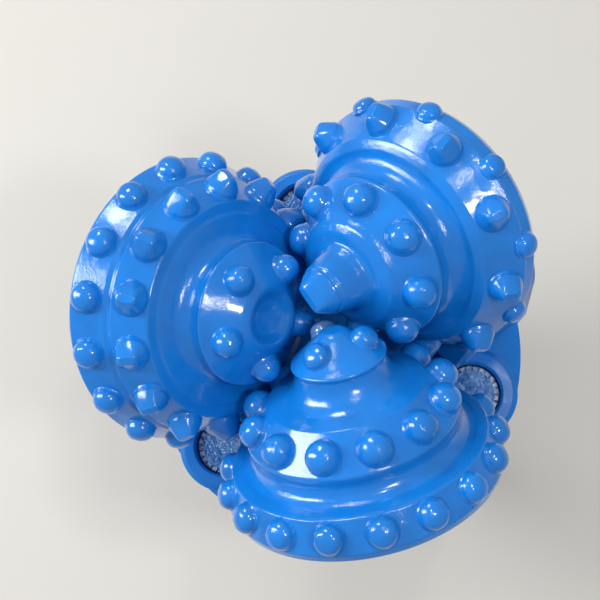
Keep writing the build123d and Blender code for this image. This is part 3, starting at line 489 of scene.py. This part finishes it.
def enamel(name, colour, peel, grain, edge=0.0, spot=None, bare=None, coat=0.8, dull=0.0):
    """Thick sprayed enamel: deep, even blue with a wet gloss. Orange peel of a height in
    millimetres breaks the streaks of light, dry spray grain glitters in patches, edge rounds the
    forging's edges, and spot gives a place where the bare metal shows. A thin coat is duller."""
    material, tree, place = new_material(name)
    pattern = {
        key: add_node(
            tree, "ShaderNodeTexNoise", "Fac",
            {"Vector": place, "Scale": 1 / wave, "Detail": detail, "Roughness": rough},
        )
        for key, (wave, detail, rough) in ENAMEL_PATTERNS.items()
        if spot is not None or key not in ("ragged", "flecks")
    }
    drift = add_node(
        tree, "ShaderNodeMapRange", "Result", {"Value": pattern["tone"], "From Min": 0.35, "From Max": 0.65}
    )
    film = add_node(
        tree, "ShaderNodeMix", "Result", {"A": darker(colour, 0.84), "B": colour, "Factor": drift},
        data_type="RGBA",
    )
    relief = {"Height": pattern["peel"], "Distance": peel * MM}
    if edge:
        relief["Normal"] = add_node(tree, "ShaderNodeBevel", "Normal", {"Radius": edge}, samples=6)
    wavy = add_node(tree, "ShaderNodeBump", "Normal", relief)
    dry = add_node(
        tree, "ShaderNodeMapRange", "Result", {"Value": pattern["dry"], "From Min": 0.4, "From Max": 0.6}
    )
    dust = add_node(tree, "ShaderNodeMath", "Value", {0: pattern["grain"], 1: dry}, operation="MULTIPLY")
    skin = add_node(
        tree, "ShaderNodeBump", "Normal", {"Height": dust, "Distance": grain * MM, "Normal": wavy}
    )
    rough = add_node(
        tree, "ShaderNodeMapRange", "Result",
        {
            "Value": pattern["grain"], "From Min": 0.3, "From Max": 0.8,
            "To Min": 0.14 + dull, "To Max": 0.26 + dull,
        },
    )
    inputs = {
        "Base Color": film, "Roughness": rough, "Normal": skin, "Specular IOR Level": 0.3,
        "Coat Weight": coat, "Coat Roughness": 0.05,
    }
    if spot is not None:
        inputs["Base Color"], inputs["Metallic"] = bare_patch(tree, place, film, pattern, spot, bare)
    close_material(tree, inputs)
    return material


def plain_finish(name, dark, light, wave, rough, metal, relief):
    """A finish of two close tones in soft patches, with uneven gloss and fine relief."""
    material, tree, place = new_material(name)
    patch = add_node(
        tree, "ShaderNodeTexNoise", "Fac",
        {"Vector": place, "Scale": 1 / wave, "Detail": 3.0, "Roughness": 0.6},
    )
    fine = add_node(
        tree, "ShaderNodeTexNoise", "Fac",
        {"Vector": place, "Scale": 6 / wave, "Detail": 2.0, "Roughness": 0.5},
    )
    share = add_node(
        tree, "ShaderNodeMapRange", "Result", {"Value": patch, "From Min": 0.35, "From Max": 0.65}
    )
    tone = add_node(
        tree, "ShaderNodeMix", "Result", {"A": linear(dark), "B": linear(light), "Factor": share},
        data_type="RGBA",
    )
    gloss = add_node(
        tree, "ShaderNodeMapRange", "Result",
        {"Value": patch, "From Min": 0.3, "From Max": 0.7, "To Min": rough[0], "To Max": rough[1]},
    )
    skin = add_node(tree, "ShaderNodeBump", "Normal", {"Height": fine, "Distance": relief * MM})
    close_material(tree, {"Base Color": tone, "Roughness": gloss, "Metallic": metal, "Normal": skin})
    return material


# ------------------------------------------------------------------ pieces
class BIT_OT_finishes(bpy.types.Operator):
    """Finishes of the pieces that keep their CAD form"""

    bl_idname = "bit.finishes"
    bl_label = "Finishes"

    def execute(self, context):
        paint = context.scene.bit_paint
        colour = tuple(paint.enamel)
        # a thinner, duller coat on the rough forging than on the cones
        forged = enamel("forged_enamel", colour, 0.05, 0.05, edge=paint.edge, coat=0.15, dull=0.12)
        smooth = enamel("cap_enamel", colour, 0.05, 0.02, edge=paint.edge / 2)
        finishes = {kind: plain_finish(*finish) for kind, finish in PLAIN_FINISHES.items()}
        finishes.update(dict.fromkeys(("leg", "cone"), forged))
        finishes.update(dict.fromkeys(("shirttail_buttons", "ball_plug", "reservoir_cap", "insert"), smooth))
        # enamel sags between the ripples of a weld
        finishes["weld_bead"] = enamel("weld_enamel", colour, 0.25, 0.1, edge=paint.edge)
        for name, node in frame["nodes"].items():
            kind = max((k for k in finishes if name.startswith(k)), key=len)
            node.data.materials.clear()
            node.data.materials.append(finishes[kind])
        return {"FINISHED"}


class BIT_OT_cones(bpy.types.Operator):
    """Paint-rounded cone shells, turned from their outlines"""

    bl_idname = "bit.cones"
    bl_label = "Cones"

    def execute(self, context):
        settings = context.scene.bit_cones
        colour = tuple(context.scene.bit_paint.enamel)
        for letter in CONES:
            cone = "cone_" + letter
            outline = rounded_outline(OUTLINES[letter], settings.spacing / MM)
            points = turn_outline(np.concatenate([outline, BORE]), letter, settings.rounds)
            finish = enamel("cone_enamel_" + letter, colour, 0.02, 0.13)
            show(grid_mesh(cone + "_shell", points[None]), cone + "_assembly", [cone], finish)
        return {"FINISHED"}


class BIT_OT_inserts(bpy.types.Operator):
    """Rows of carbide inserts with the enamel run round their feet"""

    bl_idname = "bit.inserts"
    bl_label = "Inserts"

    def execute(self, context):
        settings = context.scene.bit_inserts
        paint = context.scene.bit_paint
        colour = tuple(paint.enamel)
        painted = enamel("insert_enamel", colour, 0.03, 0.08)
        # the third nose insert of cone c lies in the spray's shadow between the cones
        origin, along, up, side = cone_axes("c")
        turn = math.radians(ROWS["inserts_nose_c"][5] + BARE_TURN)
        out = math.cos(turn) * up + math.sin(turn) * side
        spot = origin + (BARE_PLACE[0] * along + BARE_PLACE[1] * out) * MM
        shaded = enamel("insert_enamel_shaded", colour, 0.05, 0.05, spot=spot, bare=tuple(paint.bare))
        for name, row in ROWS.items():
            letter, reach, ring, tilt, count, phase, radius, height, crown, crest = row
            origin, along, up, side = cone_axes(letter)
            lean = math.radians(tilt)
            bend = ring / math.cos(lean) if ring else 0.0
            form = insert_rows(radius, height, crown, crest, bend, settings.fillet / MM, settings.rounds)
            turns = math.radians(phase) + full_turn(count)[:, None]
            out = np.cos(turns) * up + np.sin(turns) * side
            axis = math.cos(lean) * out - math.sin(lean) * along
            run = math.sin(lean) * out + math.cos(lean) * along
            middle = origin + (reach * along + ring * out) * MM
            axes = np.stack([run, np.cross(axis, run), axis], axis=1)
            placed = middle[:, None, None] + np.einsum("rcx,nxk->nrck", form, axes)
            finish = shaded if name == "inserts_nose_c" else painted
            mesh = grid_mesh(name + "_crowns", placed)
            show(mesh, "cone_" + letter + "_assembly", [name], finish)
        return {"FINISHED"}


class BIT_OT_rings(bpy.types.Operator):
    """Notched rings that hold the nozzles: a section carried round the nozzle's axis, lowered
    where a raised cosine of the angle passes a threshold"""

    bl_idname = "bit.rings"
    bl_label = "Nozzle rings"

    def execute(self, context):
        # the ring's near-white patches are painted glints, laid by noise rather than by light
        finish = plain_finish(*RING_FINISH_WITH_PAINTED_GLINTS)
        angle = full_turn(RING_FACETS)
        wave = np.cos(angle * context.scene.bit_rings.notches)
        notch = np.clip((wave - NOTCH_START) * NOTCH_SLOPE, 0, 1)
        across, rise = np.array(RING_SECTION)[::-1, :, None].transpose(1, 0, 2)
        cut = 1 - NOTCH_DEPTH * notch * ((across > NOTCHED_FROM[0]) & (rise > NOTCHED_FROM[1]))
        for letter in CONES:
            low, high = (np.array(corner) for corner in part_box("nozzle_ring_" + letter))
            cover_low, cover_high = (np.array(corner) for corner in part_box("nozzle_cover_" + letter))
            middle, outer = (low + high) / 2, (high - low)[0] / 2
            wall = outer - (cover_high - cover_low)[0] / 2
            radius = outer - wall * (1 - across)
            x, y = middle[0] + radius * np.cos(angle), middle[1] + radius * np.sin(angle)
            points = np.stack([x, y, low[2] + (high - low)[2] * rise * cut], axis=-1)
            mesh = grid_mesh("nozzle_ring_" + letter + "_notched", points[None], wrap_rows=True, smooth=False)
            show(mesh, "leg_frame", ["nozzle_ring_" + letter], finish)
        return {"FINISHED"}


class BIT_OT_thread(bpy.types.Operator):
    """Right-hand tapered thread cut round the pin: the radius is the tapered root plus a ridge
    that rises and falls with the height less the angle, faded out at both ends"""

    bl_idname = "bit.thread"
    bl_label = "Pin thread"

    def execute(self, context):
        settings = context.scene.bit_thread
        low, high = THREAD_FROM * MM, THREAD_TO * MM
        angle = full_turn(THREAD_FACETS)
        z = np.linspace(low, high, int((high - low) / settings.pitch * TURN_ROWS))[:, None]
        turn = np.mod(z / settings.pitch - angle / (2 * math.pi), 1.0)
        ridge = np.clip((1 - np.abs(turn - 0.5) * 2 - ROOT_FLAT) / FLANK, 0, 1)
        ends = np.clip((z - low) / (1.2 * settings.pitch), 0, 1) * np.clip((high - z) / settings.pitch, 0, 1)
        outer = END_ROOT * MM + settings.taper * z + ROOT_COVER * MM + settings.height * ridge * ends
        inner_z = np.array([[high], [low]])
        inner = END_ROOT * MM + settings.taper * inner_z - ROOT_SINK * MM + 0 * angle
        radius = np.concatenate([outer, inner])[::-1]
        level = np.concatenate([z, inner_z])[::-1] + 0 * angle
        points = np.stack([radius * np.cos(angle), radius * np.sin(angle), level], axis=-1)
        mesh = grid_mesh("pin_thread", points[None], wrap_rows=True)
        show(mesh, "leg_frame", [], plain_finish(*THREAD_FINISH))
        return {"FINISHED"}


def set_frame(item, place, right, back):
    """Place a lamp or camera with its X to the right and its Z backward."""
    up = np.cross(back, right)
    rows = [[right[k], up[k], back[k], place[k]] for k in range(3)] + [[0, 0, 0, 1]]
    item.matrix_world = Matrix(rows)


class BIT_OT_stage(bpy.types.Operator):
    """Plain floor, soft light and the camera"""

    bl_idname = "bit.stage"
    bl_label = "Stage"

    def execute(self, context):
        scene = context.scene
        settings = scene.bit_stage

        mesh = bpy.data.meshes.new("floor")
        square = ((-1, -1, 0), (1, -1, 0), (1, 1, 0), (-1, 1, 0))
        mesh.from_pydata([tuple(FLOOR_HALF * c for c in corner) for corner in square], [], [(0, 1, 2, 3)])
        floor = bpy.data.objects.new("floor", mesh)
        scene.collection.objects.link(floor)
        # matt painted board, hardly uneven
        material, tree, place = new_material("floor_plain")
        colour = tuple(settings.floor)
        patch = add_node(
            tree, "ShaderNodeTexNoise", "Fac",
            {"Vector": place, "Scale": 1 / FLOOR_WAVE, "Detail": 2.0, "Roughness": 0.5},
        )
        shade = add_node(
            tree, "ShaderNodeMix", "Result", {"A": darker(colour, 0.97), "B": colour, "Factor": patch},
            data_type="RGBA",
        )
        close_material(tree, {"Base Color": shade, "Roughness": 0.6})
        mesh.materials.append(material)

        world = bpy.data.worlds.new("studio")
        world.use_nodes = True
        tree = world.node_tree
        tree.nodes.clear()
        seen = add_node(tree, "ShaderNodeLightPath", "Is Camera Ray", {})
        strength = add_node(
            tree, "ShaderNodeMapRange", "Result", {"Value": seen, "To Min": SKY_LIGHT, "To Max": SKY_SEEN}
        )
        white = (1.0, 1.0, 1.0, 1.0)
        sky = add_node(tree, "ShaderNodeBackground", "Background", {"Color": white, "Strength": strength})
        add_node(tree, "ShaderNodeOutputWorld", None, {"Surface": sky})
        scene.world = world

        for name, turn, rise, away, width, height, source, share in LAMPS:
            data = bpy.data.lights.new(name, "AREA")
            data.shape, data.size, data.size_y = "RECTANGLE", width, height
            data.energy = getattr(settings, source) * share
            lamp = bpy.data.objects.new(name, data)
            scene.collection.objects.link(lamp)
            turn, rise = math.radians(turn), math.radians(rise)
            level = math.cos(rise)
            back = np.array((level * math.cos(turn), level * math.sin(turn), math.sin(rise)))
            across = np.cross((0.0, 0.0, 1.0), back)
            set_frame(lamp, LIT_PLACE + back * away, across / np.linalg.norm(across), back)
            # the wide fill lights the scene and leaves no edge of its own in the gloss
            lamp.visible_glossy = source != "fill"

        lens = bpy.data.cameras.new("camera")
        lens.lens, lens.clip_start, lens.clip_end = settings.lens, 0.01, 80.0
        camera = bpy.data.objects.new("camera", lens)
        scene.collection.objects.link(camera)
        forward = np.array(VIEW_DIRECTION) / np.linalg.norm(VIEW_DIRECTION)
        right = np.cross(forward, VIEW_UP)
        set_frame(camera, tuple(settings.eye), right / np.linalg.norm(right), -forward)
        scene.camera = camera
        scene.view_settings.view_transform = "Standard"
        return {"FINISHED"}


OPERATORS = (BIT_OT_finishes, BIT_OT_cones, BIT_OT_inserts, BIT_OT_rings, BIT_OT_thread, BIT_OT_stage)
GROUPS = {
    "bit_paint": BitPaint, "bit_cones": BitCones, "bit_inserts": BitInserts, "bit_rings": BitRings,
    "bit_thread": BitThread, "bit_stage": BitStage,
}


class BIT_PT_panel(bpy.types.Panel):
    """Sizes, colours and pieces of the bit"""

    bl_label = "Drill bit"
    bl_idname = "BIT_PT_panel"
    bl_space_type = "VIEW_3D"
    bl_region_type = "UI"
    bl_category = "Drill bit"

    def draw(self, context):
        for group in GROUPS:
            box = self.layout.box()
            settings = getattr(context.scene, group)
            for key in settings.__annotations__:
                box.prop(settings, key)
        for operator in OPERATORS:
            self.layout.operator(operator.bl_idname)


def register():
    """Register the settings, the operators and the panel."""
    for item in (*GROUPS.values(), *OPERATORS, BIT_PT_panel):
        bpy.utils.register_class(item)
    for name, group in GROUPS.items():
        setattr(bpy.types.Scene, name, bpy.props.PointerProperty(type=group))


def unregister():
    """Take off what register put on, in the opposite order."""
    for name in GROUPS:
        delattr(bpy.types.Scene, name)
    for item in (BIT_PT_panel, *reversed(OPERATORS), *reversed(GROUPS.values())):
        bpy.utils.unregister_class(item)


def main():
    """Make every piece, its finish and the stage."""
    register()
    bpy.ops.bit.finishes()
    bpy.ops.bit.cones()
    bpy.ops.bit.inserts()
    bpy.ops.bit.rings()
    bpy.ops.bit.thread()
    bpy.ops.bit.stage()


if __name__ == "__main__":
    main()
